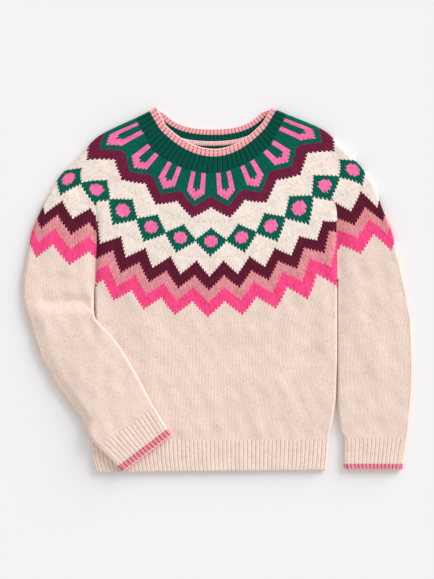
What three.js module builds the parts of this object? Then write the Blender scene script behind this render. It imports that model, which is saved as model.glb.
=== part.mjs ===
// A child's round-yoke jumper, laid flat on its back with one sleeve bent over the body.
// Millimetres. +X runs across the body, +Y towards the neck and +Z up from the surface it lies on.
import * as THREE from "three";

// Cloth and layers
const wall = 2.6;
const layerGap = 1.8;
const bandWall = 2.8;
const seamGap = 0.3;
const seamShift = 0.35;
const ribRise = 0.35;
const ribDip = 0.45;
const leastLayerGap = 0.4;

// Counts of ribs, then of the spans across and along each wall
const neckRibsInFront = 36;
const hemRibs = 56;
const cuffRibs = 15;
const yokeStepsPerCourse = 2;
const bodyFrontSpans = { across: 22, along: 12 };
const bodyBackSpans = { across: 14, along: 6 };
const hemFrontSpans = { across: 2 * hemRibs, along: 2 };
const hemBackSpans = { across: 10, along: 2 };
const cuffSpans = { top: 2 * cuffRibs, bottom: 6, along: 2 };
const cuffTipSpans = { top: 2 * cuffRibs, bottom: 6, along: 1 };
const facingSpans = 24;

// Underarm valley, which starts on the yoke and is full depth above the underarm.
// It is steep on the body's side and gentle on the sleeve's.
const valleyDepth = 2.8;
const valleyBodyWidth = 3.4;
const valleySleeveWidth = 8;
const valleyStartY = 108;
const valleyFullY = 50;

// Lift of the bent forearm where it crosses the body's edge
const liftHeight = 7.9;
const liftRunOut = 14;
const liftRunIn = 2;
const liftStartY = -10.5;
const liftFullY = -31;

// Rise of the back neck over the front neck
const backNeckRise = 24;
const backShoulderRise = 13;

// Inner edge of the folded neckband, as shares of the band's width, and how far round it goes
const facingFrom = 0.34;
const facingTo = 0.64;
const facingWall = 1.0;
const facingReach = 1.15;

// Courses of the neckband and yoke, from the neck edge down to the underarm.
// mid is the centre of the front, crease the underarm crease's line and fold the outer edge.
const yokeCourses = [
  { name: "neck edge", mid: [-4.4, 168.2], leftCrease: [-62, 196.4],
    leftFold: [-73.5, 219.1], rightCrease: [53.8, 200], rightFold: [64.9, 218.3] },
  { name: "tip base", mid: [-5, 158.9], leftCrease: [-69.2, 191.6],
    leftFold: [-81.8, 213.4], rightCrease: [57.4, 193.4], rightFold: [70.6, 215] },
  { name: "yoke top", mid: [-8, 140.3], leftCrease: [-79.5, 169.4],
    leftFold: [-96.8, 205.9], rightCrease: [63.5, 173.6], rightFold: [82.3, 210] },
  { name: "petals", mid: [-8, 106.4], leftCrease: [-102.3, 149.6],
    leftFold: [-142.4, 183.6], rightCrease: [86.3, 156.8], rightFold: [126.4, 191] },
  { name: "first decreases", mid: [-8, 83.6], leftCrease: [-119.1, 131],
    leftFold: [-164.8, 159.4], rightCrease: [103.1, 141.2], rightFold: [148, 170.6] },
  { name: "diamonds", mid: [-8, 58.8], leftCrease: [-141.2, 113.6],
    leftFold: [-188.6, 135.8], rightCrease: [125.2, 124.4], rightFold: [172, 146.6] },
  { name: "second decreases", mid: [-8, 36.8], leftCrease: [-145.4, 90.2],
    leftFold: [-203.1, 111.2], rightCrease: [141.4, 99.8], rightFold: [187.6, 123.8] },
  { name: "dark zigzag", mid: [-8, 15.8], leftCrease: [-144.8, 60.2],
    leftFold: [-213.2, 91.2], rightCrease: [142.4, 71], rightFold: [197.2, 97.4] },
  { name: "pale zigzag", mid: [-8, -9.4], leftCrease: [-146.2, 32.6],
    leftFold: [-222.5, 68.6], rightCrease: [143.2, 39.8], rightFold: [207.7, 72.2] },
  { name: "underarm", mid: [-8, -40.6], leftCrease: [-146.7, 6.2],
    leftFold: [-229.4, 33.8], rightCrease: [143.7, 12.2], rightFold: [217.4, 35.6] },
];
const tipBaseCourse = 1;
const yokeTopCourse = 2;
const underarmCourse = yokeCourses.length - 1;

// Sections of the two sleeves, from the underarm to the end of the cuff
const bentSleeve = [
  { name: "armhole", outer: [-229.4, 33.45], inner: [-147.1, 5.85] },
  { name: "upper arm", outer: [-233.6, 13.4], inner: [-147.7, -3.4] },
  { name: "above the elbow", outer: [-233.8, -3.4], inner: [-149.2, -11.8] },
  { name: "elbow", outer: [-232.1, -19], inner: [-151, -17.8] },
  { name: "below the elbow", outer: [-228.8, -32.2], inner: [-149.8, -24.6] },
  { name: "crossing", outer: [-223, -51.6], inner: [-146, -34.6] },
  { name: "upper forearm", outer: [-216.3, -73.2], inner: [-137.6, -44.2] },
  { name: "forearm", outer: [-206.3, -94.8], inner: [-130.4, -52] },
  { name: "mid forearm", outer: [-198.8, -109], inner: [-125, -57.7] },
  { name: "lower forearm", outer: [-185.8, -128.5], inner: [-111.2, -77.2] },
  { name: "above the wrist", outer: [-165.7, -157], inner: [-93.8, -106.9] },
  { name: "wrist", outer: [-152.2, -178.8], inner: [-82.4, -129.4] },
  { name: "cuff", outer: [-143.6, -188.5], inner: [-75.8, -140.8] },
  { name: "cuff tip", outer: [-119.6, -211.6], inner: [-60.1, -166.6] },
  { name: "end", outer: [-113.7, -219], inner: [-53.3, -173.8] },
];
const straightSleeve = [
  { name: "armhole", outer: [217.4, 35.25], inner: [144.1, 11.85] },
  { name: "upper arm", outer: [227.2, -9.4], inner: [143.9, -13] },
  { name: "elbow", outer: [231.9, -37], inner: [143.8, -37] },
  { name: "forearm", outer: [233.5, -73], inner: [143.8, -73] },
  { name: "lower forearm", outer: [233.8, -109], inner: [143.9, -109] },
  { name: "above the wrist", outer: [231.7, -139], inner: [143.8, -141.4] },
  { name: "wrist", outer: [229, -166.6], inner: [146.8, -169] },
  { name: "cuff", outer: [227.1, -178.8], inner: [150.9, -178.6] },
  { name: "cuff tip", outer: [222.2, -209], inner: [151.1, -209] },
  { name: "end", outer: [221.3, -216.5], inner: [153.4, -216.1] },
];
const bentCuffSection = 12;
const straightCuffSection = 7;

// Side edges of the body, by height on the page
const bodySides = [
  { y: 14, left: -146.6, right: 143.3 },
  { y: -37, left: -146.8, right: 143.3 },
  { y: -85, left: -147.2, right: 143.3 },
  { y: -133, left: -148.4, right: 141.8 },
  { y: -157, left: -150.2, right: 138.4 },
  { y: -181, left: -152, right: 133.1 },
  { y: -205, left: -149.6, right: 131.6 },
  { y: -219, left: -145.5, right: 129.9 },
];
const hemCorners = { left: -152, right: 133.1 };
const hemTop = { left: -181.8, right: -179.8 };
const hemEnd = { left: -219, right: -216.6 };

// Soft folds of the upper layer: a ridge has a positive rise, a trough a negative one
const folds = [
  { name: "elbow trough", from: [-206, -21], to: [-150, -15], spread: 8, rise: -1.1 },
  { name: "elbow ridge", from: [-208, -38], to: [-146, -27], spread: 9, rise: 0.9 },
  { name: "bent upper arm trough", from: [-216, 24], to: [-166, 2], spread: 9, rise: -0.8 },
  { name: "bent forearm ridge", from: [-196, -62], to: [-134, -134], spread: 12, rise: 0.6 },
  { name: "straight upper arm trough", from: [158, 8], to: [212, 20], spread: 8, rise: -0.7 },
  { name: "straight sleeve's inner trough", from: [149, 12], to: [148, -150], spread: 6, rise: -1.2 },
  { name: "straight forearm ridge", from: [172, -40], to: [208, -128], spread: 14, rise: 0.7 },
  { name: "body ridge by the forearm", from: [-86, -12], to: [-80, -112], spread: 14, rise: 0.8 },
  { name: "body slanting trough", from: [-52, -98], to: [84, -52], spread: 13, rise: -0.7 },
  { name: "body slanting ridge", from: [2, -142], to: [122, -84], spread: 15, rise: 0.8 },
  { name: "body side trough", from: [104, 0], to: [110, -150], spread: 12, rise: -0.6 },
  { name: "left shoulder ridge", from: [-170, 128], to: [-104, 60], spread: 14, rise: 0.7 },
  { name: "right shoulder ridge", from: [152, 128], to: [96, 58], spread: 13, rise: 0.6 },
];

// Colours
const oat = { color: "#ecdccb", roughness: 0.95, metalness: 0 };
const yokeCream = { color: "#f3e8da", roughness: 0.95, metalness: 0 };
const bandGreen = { color: "#0d6b4f", roughness: 0.95, metalness: 0 };
const tipPink = { color: "#e79aa6", roughness: 0.95, metalness: 0 };
const facingPink = { color: "#eccfcd", roughness: 0.95, metalness: 0 };

const mix = (from, to, share) => from + (to - from) * share;
const smooth = (value) => {
  const held = Math.min(Math.max(value, 0), 1);
  return held * held * (3 - 2 * held);
};
const evenly = (count, from, to) => Array.from({ length: count + 1 }, (_, i) => mix(from, to, i / count));

// A point of a table at a fractional row, on a smooth curve through the rows
function sample(table, key, at) {
  const last = table.length - 1;
  const row = Math.min(Math.max(Math.floor(at), 0), last - 1);
  const share = at - row;
  const square = share * share;
  const cube = square * share;
  return [0, 1].map((axis) => {
    const here = table[row][key][axis];
    const next = table[row + 1][key][axis];
    const slopeHere = row > 0 ? (next - table[row - 1][key][axis]) / 2 : next - here;
    const slopeNext = row + 2 <= last ? (table[row + 2][key][axis] - here) / 2 : next - here;
    return (
      here * (2 * cube - 3 * square + 1) + slopeHere * (cube - 2 * square + share) +
      next * (3 * square - 2 * cube) + slopeNext * (cube - square)
    );
  });
}

// Where a side of the body stands at a height on the page. The first and last spans run on past the table.
function bodySide(key, y) {
  const found = bodySides.findIndex((row) => row.y <= y);
  const below = found < 0 ? bodySides.length - 1 : Math.max(found, 1);
  const upper = bodySides[below - 1];
  const lower = bodySides[below];
  return mix(upper[key], lower[key], (upper.y - y) / (upper.y - lower.y));
}

// Height that the soft folds add to the upper layer
function foldRise(x, y) {
  let total = 0;
  for (const { from, to, spread, rise } of folds) {
    const [runX, runY] = [to[0] - from[0], to[1] - from[1]];
    const [gapX, gapY] = [x - from[0], y - from[1]];
    const length = Math.hypot(runX, runY);
    const along = (gapX * runX + gapY * runY) / (length * length);
    const across = (gapX * runY - gapY * runX) / length;
    const fade = along > 0 && along < 1 ? Math.sin(Math.PI * along) ** 2 : 0;
    total += rise * fade * Math.exp(-((across / spread) ** 2));
  }
  return total;
}

// Dip of the underarm valley at a distance from the crease's line
function valleyDip(distance, onSleeve, y) {
  const depth = valleyDepth * smooth((valleyStartY - y) / (valleyStartY - valleyFullY));
  const width = onSleeve ? valleySleeveWidth : valleyBodyWidth;
  return depth * Math.exp(-((distance / width) ** 2));
}

// Lift of the bent sleeve as it climbs over the body's edge and lies on the body
function sleeveLift(x, y) {
  const inside = x - bodySide("left", y);
  const across = smooth((inside + liftRunOut) / (liftRunOut + liftRunIn));
  const down = smooth((liftStartY - y) / (liftStartY - liftFullY));
  return liftHeight * across * down;
}

// A point at a distance from a place, the way that out faces
const pointOut = (from, out, reach, height) => [from[0] + out[0] * reach, from[1] + out[1] * reach, height];

// Columns round a folded edge, each an outer and an inner point of the wall.
// centre is the middle of the roll and out the way it faces.
function rollColumns(centre, out, thickness, angles) {
  const innerRadius = layerGap / 2;
  const outerRadius = innerRadius + thickness;
  return angles.map((angle) => {
    const turn = THREE.MathUtils.degToRad(angle);
    const [level, lift] = [Math.cos(turn), Math.sin(turn)];
    return {
      outer: pointOut(centre, out, outerRadius * level, outerRadius + outerRadius * lift),
      inner: pointOut(centre, out, innerRadius * level, outerRadius + innerRadius * lift),
    };
  });
}

// The same roll's edge at a side seam, offset above or below its middle
function rollSeam(centre, out, thickness, offset) {
  const innerRadius = layerGap / 2;
  const outerRadius = innerRadius + thickness;
  return {
    outer: pointOut(centre, out, Math.sqrt(outerRadius ** 2 - offset ** 2), outerRadius + offset),
    inner: pointOut(centre, out, Math.sqrt(innerRadius ** 2 - offset ** 2), outerRadius + offset),
  };
}

// A column of the layer that faces up, whose inner side stays above the lower layer
const upperColumn = (x, y, top, thickness) => ({
  outer: [x, y, top],
  inner: [x, y, Math.max(top - thickness, wall + leastLayerGap)],
});
// A column of the lower layer, flat on the surface
const lowerColumn = (x, y, thickness) => ({ outer: [x, y, 0], inner: [x, y, thickness] });

// A closed wall between outer and inner points. rings is a list of lists of columns.
function wallGeometry(rings, closedRound) {
  const across = rings[0].length;
  const positions = [];
  for (const ring of rings) {
    for (const { outer } of ring) positions.push(...outer);
  }
  const innerStart = positions.length / 3;
  for (const ring of rings) {
    for (const { inner } of ring) positions.push(...inner);
  }
  const faces = [];
  const quad = (a, b, c, d) => faces.push(a, b, c, a, c, d);
  const spans = closedRound ? across : across - 1;
  for (let i = 0; i + 1 < rings.length; i += 1) {
    for (let j = 0; j < spans; j += 1) {
      const next = (j + 1) % across;
      const a = i * across + j;
      const b = i * across + next;
      const c = a + across;
      const d = b + across;
      quad(a, b, d, c);
      quad(innerStart + a, innerStart + c, innerStart + d, innerStart + b);
    }
  }
  const end = (rings.length - 1) * across;
  for (let j = 0; j < spans; j += 1) {
    const next = (j + 1) % across;
    quad(j, innerStart + j, innerStart + next, next);
    quad(end + j, end + next, innerStart + end + next, innerStart + end + j);
  }
  if (!closedRound) {
    for (let i = 0; i + 1 < rings.length; i += 1) {
      const a = i * across;
      const b = a + across;
      quad(a, b, innerStart + b, innerStart + a);
      const c = a + across - 1;
      const d = c + across;
      quad(c, innerStart + c, innerStart + d, d);
    }
  }
  return faceOutward(positions, faces);
}

// Turns every face over if the solid would otherwise be inside out
function faceOutward(positions, faces) {
  const point = (i) => new THREE.Vector3().fromArray(positions, 3 * i);
  let volume = 0;
  for (let i = 0; i < faces.length; i += 3) {
    volume += point(faces[i]).dot(point(faces[i + 1]).cross(point(faces[i + 2])));
  }
  if (volume < 0) faces.reverse();
  const geometry = new THREE.BufferGeometry();
  geometry.setAttribute("position", new THREE.Float32BufferAttribute(positions, 3));
  geometry.setIndex(faces);
  geometry.computeVertexNormals();
  return geometry;
}

// Plan of one course of the yoke's front. side is "left" or "right".
const coursePlan = (at, side) => ({
  mid: sample(yokeCourses, "mid", at),
  crease: sample(yokeCourses, `${side}Crease`, at),
  fold: sample(yokeCourses, `${side}Fold`, at),
});

// How much higher the back lies on the page than the front, at the same reach
function backRise(at, far) {
  const shareDown = Math.max(at - yokeTopCourse, 0) / (underarmCourse - yokeTopCourse);
  const shoulder = backShoulderRise * (1 - shareDown);
  if (far > 1) return shoulder * (2 - far);
  return mix(shoulder, backNeckRise, (1 - far * far) ** 2);
}

// The way a fold faces, square across the wales that run into it
function foldFacing(at, side) {
  const { crease, fold } = coursePlan(at, side);
  const out = [fold[0] - crease[0], fold[1] - crease[1]];
  const length = Math.hypot(...out);
  return out.map((value) => value / length);
}

// A point of a course in plan. reach is 0 at the centre, 1 on the crease's line and 2 at the fold's roll.
function coursePoint(at, reach, back, radius) {
  const side = reach < 0 ? "left" : "right";
  const { mid, crease, fold } = coursePlan(at, side);
  const far = Math.abs(reach);
  const rise = back ? backRise(at, far) : 0;
  if (far <= 1) return [mix(mid[0], crease[0], far), mix(mid[1], crease[1], far * far) + rise];
  const out = foldFacing(at, side);
  const rollCentre = [fold[0] - out[0] * radius, fold[1] - out[1] * radius];
  return [mix(crease[0], rollCentre[0], far - 1), mix(crease[1], rollCentre[1], far - 1) + rise];
}

// Reaches that stand at even distances along a course, found on a finer run of reaches
const fineReaches = 240;

function evenReaches(at, count, back, radius, furthest) {
  const fine = evenly(fineReaches, -furthest, furthest);
  const lengths = [0];
  for (let i = 1; i < fine.length; i += 1) {
    const before = coursePoint(at, fine[i - 1], back, radius);
    const here = coursePoint(at, fine[i], back, radius);
    lengths.push(lengths[i - 1] + Math.hypot(here[0] - before[0], here[1] - before[1]));
  }
  const total = lengths[lengths.length - 1];
  return evenly(count, 0, total).map((length) => {
    const i = Math.min(Math.max(lengths.findIndex((value) => value >= length), 1), fine.length - 1);
    const share = (length - lengths[i - 1]) / (lengths[i] - lengths[i - 1]);
    return mix(fine[i - 1], fine[i], share);
  });
}

// Angles of a folded edge's columns: from the top layer down, from the lower layer up, and down half a roll
const rollAngles = [45, 0, -45];
const rollAnglesBack = [-45, 0, 45];
const halfRollAngles = [60, 30];

// One ring of the yoke or neckband: front, right fold, back and left fold
function courseRing(at, frontReaches, backReaches, thickness, topAt) {
  const radius = thickness + layerGap / 2;
  const ring = [];
  frontReaches.forEach((reach, i) => {
    const [x, y] = coursePoint(at, reach, false, radius);
    ring.push(upperColumn(x, y, topAt(x, y, reach, i), thickness));
  });
  const rightCentre = coursePoint(at, 2, false, radius);
  ring.push(...rollColumns(rightCentre, foldFacing(at, "right"), thickness, rollAngles));
  for (const reach of [...backReaches].reverse()) {
    const [x, y] = coursePoint(at, reach, true, radius);
    ring.push(lowerColumn(x, y, thickness));
  }
  const leftCentre = coursePoint(at, -2, false, radius);
  ring.push(...rollColumns(leftCentre, foldFacing(at, "left"), thickness, rollAnglesBack));
  return ring;
}

// Yoke
const bodySideReaches = [0.14, 0.28, 0.42, 0.55, 0.68, 0.8, 0.89, 0.95, 0.98];
const sleeveSideReaches = [1.03, 1.08, 1.18, 1.34, 1.5, 1.66, 1.84, 2];
const halfReaches = [...bodySideReaches, 1, ...sleeveSideReaches];
const yokeReaches = [...halfReaches.map((reach) => -reach).reverse(), 0, ...halfReaches];
const yokeBackHalf = [0.14, 0.28, 0.42, 0.56, 0.7, 0.85, 1, 1.35, 1.7, 2];
const yokeBackReaches = [...yokeBackHalf.map((reach) => -reach).reverse(), 0, ...yokeBackHalf];
const creaseSearchStep = 0.1;
const flatTop = 2 * wall + layerGap;
const flatRadius = flatTop / 2;

function yokeTop(x, y, reach) {
  const creaseX = creaseLineX(reach < 0 ? "left" : "right", y);
  return flatTop + foldRise(x, y) - valleyDip(x - creaseX, Math.abs(reach) > 1, y);
}

// Where the crease's line runs at a height on the page
function creaseLineX(side, y) {
  const key = `${side}Crease`;
  let at = underarmCourse;
  while (at > yokeTopCourse && sample(yokeCourses, key, at)[1] < y) at -= creaseSearchStep;
  return sample(yokeCourses, key, at)[0];
}

function yokeRings() {
  const steps = (underarmCourse - yokeTopCourse) * yokeStepsPerCourse;
  return evenly(steps, yokeTopCourse, underarmCourse).map((at) =>
    courseRing(at, yokeReaches, yokeBackReaches, wall, yokeTop));
}

// Neckband and its tip
const bandTop = 2 * bandWall + layerGap;
const bandColumns = 2 * neckRibsInFront;
const bandBackHalf = [0.25, 0.5, 0.75, 1, 1.5, 2];
const bandBackReaches = [...bandBackHalf.map((reach) => -reach).reverse(), 0, ...bandBackHalf];
const courseSeam = 0.018;
const ribHeight = (i) => (i % 2 === 1 ? ribRise : -ribDip);

function bandRing(at) {
  const reaches = evenReaches(at, bandColumns, false, bandWall + layerGap / 2, 2);
  return courseRing(at, reaches, bandBackReaches, bandWall, (x, y, reach, i) => bandTop + ribHeight(i));
}
const bandRings = (from, to, steps) => evenly(steps, from, to).map(bandRing);

// Inner edge of the folded neckband, which lies on the back of the band
function facingRings() {
  const base = bandWall + seamGap;
  return [facingFrom, facingTo].map((share) => {
    const at = mix(tipBaseCourse, yokeTopCourse, share);
    const radius = bandWall + layerGap / 2;
    return evenReaches(at, facingSpans, true, radius, facingReach).map((reach) => {
      const [x, y] = coursePoint(at, reach, true, radius);
      return { outer: [x, y, base + facingWall], inner: [x, y, base] };
    });
  });
}

// Body, front and back, and the hem's ribs
const seamHalf = seamGap / 2;

// Height of the yoke's lower edge above a place across the body
function borderY(x, back) {
  const side = x < yokeCourses[underarmCourse].mid[0] ? "left" : "right";
  const { mid, crease } = coursePlan(underarmCourse, side);
  const far = Math.min((x - mid[0]) / (crease[0] - mid[0]), 1);
  return mix(mid[1], crease[1], far * far) + (back ? backRise(underarmCourse, far) : 0);
}

const acrossBody = (line, x) =>
  mix(line.left, line.right, (x - hemCorners.left) / (hemCorners.right - hemCorners.left));

// Columns across one row of the body. yAt gives the row's height at a place across.
function bodyRow(spans, yAt, front, topAt) {
  const shares = evenly(spans, 0, 1);
  const place = (share, inset) => {
    const nearX = mix(bodySides[0].left, bodySides[0].right, share) + inset;
    const y = yAt(nearX);
    const left = bodySide("left", y) + flatRadius;
    const right = bodySide("right", y) - flatRadius;
    return [mix(left, right, share), y];
  };
  const flat = shares.map((share, i) => {
    const [x, y] = place(share, flatRadius * (1 - 2 * share));
    return front ? upperColumn(x, y, topAt(x, y, i), wall) : lowerColumn(x, y, wall);
  });
  const sign = front ? 1 : -1;
  const halfRoll = (centre, out) => [
    ...rollColumns(centre, out, wall, halfRollAngles.map((angle) => angle * sign)),
    rollSeam(centre, out, wall, sign * seamHalf),
  ];
  const left = halfRoll(flat[0].inner, [-1, 0]);
  const right = halfRoll(flat[flat.length - 1].inner, [1, 0]);
  return [...left.reverse(), ...flat, ...right];
}

function bodyRings(front, { across, along }) {
  return evenly(along, 0, 1).map((share) => {
    const yAt = (x) => mix(borderY(x, !front) - seamShift, acrossBody(hemTop, x) + seamHalf, share);
    return bodyRow(across, yAt, front, (x, y) => flatTop + foldRise(x, y));
  });
}

function hemRings(front, { across, along }) {
  return evenly(along, 0, 1).map((share) => {
    const yAt = (x) => mix(acrossBody(hemTop, x) - seamHalf, acrossBody(hemEnd, x), share);
    return bodyRow(across, yAt, front, (x, y, i) => flatTop + ribHeight(i));
  });
}

// Sleeves and cuffs. spans gives the counts across the upper and the lower layer.
function tubeRing(table, at, spans, topAt, lift) {
  const outerEdge = sample(table, "outer", at);
  const innerEdge = sample(table, "inner", at);
  const span = [innerEdge[0] - outerEdge[0], innerEdge[1] - outerEdge[1]];
  const length = Math.hypot(...span);
  const along = span.map((value) => value / length);
  const back = along.map((value) => -value);
  const from = [outerEdge[0] + along[0] * flatRadius, outerEdge[1] + along[1] * flatRadius];
  const to = [innerEdge[0] - along[0] * flatRadius, innerEdge[1] - along[1] * flatRadius];
  const place = (share) => [mix(from[0], to[0], share), mix(from[1], to[1], share)];
  const upper = evenly(spans.top, 0, 1).map((share, i) => {
    const [x, y] = place(share);
    return upperColumn(x, y, topAt(x, y, i), wall);
  });
  const lower = evenly(spans.bottom, 1, 0).map((share) => lowerColumn(...place(share), wall));
  const ring = [
    ...upper, ...rollColumns(to, along, wall, rollAngles),
    ...lower, ...rollColumns(from, back, wall, rollAnglesBack),
  ];
  for (const { outer, inner } of ring) {
    outer[2] += lift(outer[0], outer[1]);
    inner[2] += lift(inner[0], inner[1]);
  }
  return ring;
}

const noLift = () => 0;
const foldedTop = (x, y) => flatTop + foldRise(x, y);
const ribbedTop = (x, y, i) => flatTop + ribHeight(i);

// Length of one span of a sleeve's table, halfway between its two edges
function sectionLength(table, row) {
  const run = (key) => {
    const [from, to] = [table[row][key], table[row + 1][key]];
    return Math.hypot(to[0] - from[0], to[1] - from[1]);
  };
  return (run("outer") + run("inner")) / 2;
}

function sleeveRings(table, cuffRow, spans, lift) {
  const end = cuffRow - seamHalf / sectionLength(table, cuffRow - 1);
  return evenly(spans.along, 0, end).map((at) => tubeRing(table, at, spans, foldedTop, lift));
}

function cuffRings(table, row, spans, last, lift) {
  const short = seamHalf / sectionLength(table, row);
  const end = row + 1 - (last ? 0 : short);
  return evenly(spans.along, row + short, end).map((at) => tubeRing(table, at, spans, ribbedTop, lift));
}

// Assembly
const jumper = new THREE.Group();

function addPiece(name, geometry, finish) {
  const piece = new THREE.Mesh(geometry, new THREE.MeshStandardMaterial(finish));
  piece.name = name;
  jumper.add(piece);
}

const neckbandRings = bandRings(tipBaseCourse + courseSeam, yokeTopCourse - courseSeam, 1);
const neckTipRings = bandRings(0, tipBaseCourse - courseSeam, 1);

addPiece("yoke", wallGeometry(yokeRings(), true), yokeCream);
addPiece("neckband", wallGeometry(neckbandRings, true), bandGreen);
addPiece("neck_tip", wallGeometry(neckTipRings, true), tipPink);
addPiece("neck_facing", wallGeometry(facingRings(), false), facingPink);
addPiece("body_front", wallGeometry(bodyRings(true, bodyFrontSpans), false), oat);
addPiece("body_back", wallGeometry(bodyRings(false, bodyBackSpans), false), oat);
addPiece("hem_rib_front", wallGeometry(hemRings(true, hemFrontSpans), false), oat);
addPiece("hem_rib_back", wallGeometry(hemRings(false, hemBackSpans), false), oat);

const sleeves = [
  { name: "bent", table: bentSleeve, cuffRow: bentCuffSection,
    spans: { top: 11, bottom: 9, along: 26 }, lift: sleeveLift },
  { name: "straight", table: straightSleeve, cuffRow: straightCuffSection,
    spans: { top: 9, bottom: 6, along: 14 }, lift: noLift },
];
for (const { name, table, cuffRow, spans, lift } of sleeves) {
  const rings = sleeveRings(table, cuffRow, spans, lift);
  const ribbedRings = cuffRings(table, cuffRow, cuffSpans, false, lift);
  const tipRings = cuffRings(table, cuffRow + 1, cuffTipSpans, true, lift);
  addPiece(`sleeve_${name}`, wallGeometry(rings, true), oat);
  addPiece(`cuff_${name}`, wallGeometry(ribbedRings, true), oat);
  addPiece(`cuff_tip_${name}`, wallGeometry(tipRings, true), tipPink);
}

// The origin is under the middle of the whole jumper
const bounds = new THREE.Box3().setFromObject(jumper);
const middle = bounds.getCenter(new THREE.Vector3());
jumper.position.set(-middle.x, -middle.y, -bounds.min.z);
jumper.updateMatrixWorld(true);

export default jumper;
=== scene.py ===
import math

import bpy
import numpy as np
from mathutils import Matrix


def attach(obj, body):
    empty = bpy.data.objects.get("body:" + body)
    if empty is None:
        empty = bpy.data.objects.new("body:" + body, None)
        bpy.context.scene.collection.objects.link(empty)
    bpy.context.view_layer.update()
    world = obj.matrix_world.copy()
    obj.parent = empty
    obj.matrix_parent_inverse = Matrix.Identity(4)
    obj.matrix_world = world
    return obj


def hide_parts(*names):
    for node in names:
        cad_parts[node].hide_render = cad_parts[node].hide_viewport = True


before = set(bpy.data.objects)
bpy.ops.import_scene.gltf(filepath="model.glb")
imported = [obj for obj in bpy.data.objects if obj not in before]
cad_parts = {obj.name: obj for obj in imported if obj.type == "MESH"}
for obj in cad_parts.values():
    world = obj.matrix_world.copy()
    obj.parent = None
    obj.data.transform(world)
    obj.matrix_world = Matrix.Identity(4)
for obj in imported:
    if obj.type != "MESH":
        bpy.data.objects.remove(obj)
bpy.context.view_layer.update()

# A child's round-yoke jumper, laid flat on its back. Lengths are in millimetres on the page
# that the jumper lies on, +X towards the straight sleeve and +Y towards the neck,
# and a finished mesh is put into the frame in metres.
pageShift = (0.088, -0.050)   # millimetres from the page's origin to the frame's
metre = 0.001

print("camera and light")
camera = {
    "centre": (-0.0007, -0.0004),
    "distance": 3.0,
    "fieldHeight": 0.6948,        # how much of the page the picture's height takes in
    "sensor": 36.0,
}


def addCamera():
    data = bpy.data.cameras.new("camera")
    data.sensor_fit = "VERTICAL"
    data.sensor_height = camera["sensor"]
    data.lens = camera["sensor"] * camera["distance"] / camera["fieldHeight"]
    data.clip_end = 20.0
    holder = bpy.data.objects.new("camera", data)
    holder.location = (*camera["centre"], camera["distance"])
    bpy.context.scene.collection.objects.link(holder)
    bpy.context.scene.camera = holder


studio = {
    "skyStrength": 0.74,
    "windowStrength": 2.89,
    "windowWidth": 44.0,          # degrees of sky that the soft light fills
    "windowHeight": 20.5,         # degrees above the floor
    "windowFrom": 42.0,           # degrees from +X towards +Y
    "floorSide": 8.0,
    "floorTone": (0.860, 0.844, 0.852, 1.0),
}


def addStudio():
    scene = bpy.context.scene
    scene.view_settings.view_transform = "Standard"
    world = bpy.data.worlds.new("studio")
    world.use_nodes = True
    sky = world.node_tree.nodes["Background"]
    sky.inputs["Color"].default_value = (1.0, 1.0, 1.0, 1.0)
    sky.inputs["Strength"].default_value = studio["skyStrength"]
    scene.world = world
    window = bpy.data.lights.new("window", "SUN")
    window.energy = studio["windowStrength"]
    window.angle = math.radians(studio["windowWidth"])
    lamp = bpy.data.objects.new("window", window)
    lean = math.radians(90.0 - studio["windowHeight"])
    lamp.rotation_euler = (0.0, lean, math.radians(studio["windowFrom"]))
    scene.collection.objects.link(lamp)
    half = studio["floorSide"] / 2
    corners = [(-half, -half, 0.0), (half, -half, 0.0), (half, half, 0.0), (-half, half, 0.0)]
    mesh = bpy.data.meshes.new("floor")
    mesh.from_pydata(corners, [], [(0, 1, 2, 3)])
    floor = bpy.data.objects.new("floor", mesh)
    scene.collection.objects.link(floor)
    paper = bpy.data.materials.new("paper")
    paper.use_nodes = True
    shader = paper.node_tree.nodes["Principled BSDF"]
    shader.inputs["Base Color"].default_value = studio["floorTone"]
    shader.inputs["Roughness"].default_value = 0.9
    shader.inputs["Specular IOR Level"].default_value = 0.1
    mesh.materials.append(paper)


addCamera()
addStudio()

print("yarns and stitches")


def rgb(red, green, blue):
    # a colour as a screen shows it, made linear
    shares = [value / 255 for value in (red, green, blue)]
    linear = [((share + 0.055) / 1.055) ** 2.4 if share > 0.04 else share / 12.92 for share in shares]
    return (*linear, 1.0)


yarns = {
    "oat": rgb(243, 220, 206),
    # painted shade: oat darkened as in the grooves of a rib
    "oatGrooveShade": rgb(220, 192, 175),
    "cream": rgb(250, 235, 224),
    "green": rgb(0, 97, 79),
    # painted shade: green darkened as in the grooves of a rib
    "greenGrooveShade": rgb(0, 46, 40),
    "bandGreen": rgb(0, 80, 64),
    "pink": rgb(255, 119, 174),
    "burgundy": rgb(95, 25, 48),
    "plum": rgb(112, 30, 62),
    "dustyPink": rgb(228, 145, 151),
    "hotPink": rgb(252, 76, 136),
    "tipPink": rgb(252, 180, 182),
    "tipRose": rgb(176, 82, 98),
    "tipLip": rgb(250, 204, 202),
    "cuffPink": rgb(242, 152, 164),
    "cuffRose": rgb(158, 56, 80),
    "cuffLip": rgb(250, 184, 192),
    "shellPink": rgb(240, 198, 194),
    # painted shade: shell pink darkened as in the grooves of a rib
    "shellGrooveShade": rgb(212, 146, 150),
    "decreaseTan": rgb(176, 140, 128),
    "fleckTan": rgb(206, 176, 156),
    "fleckPink": rgb(240, 186, 186),
    "fleckGrey": rgb(206, 204, 192),
}

# How the wool takes light, the same all over a piece
wool = {"roughness": 0.92, "sheenWeight": 0.04, "sheenRoughness": 0.5, "specular": 0.08}


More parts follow.
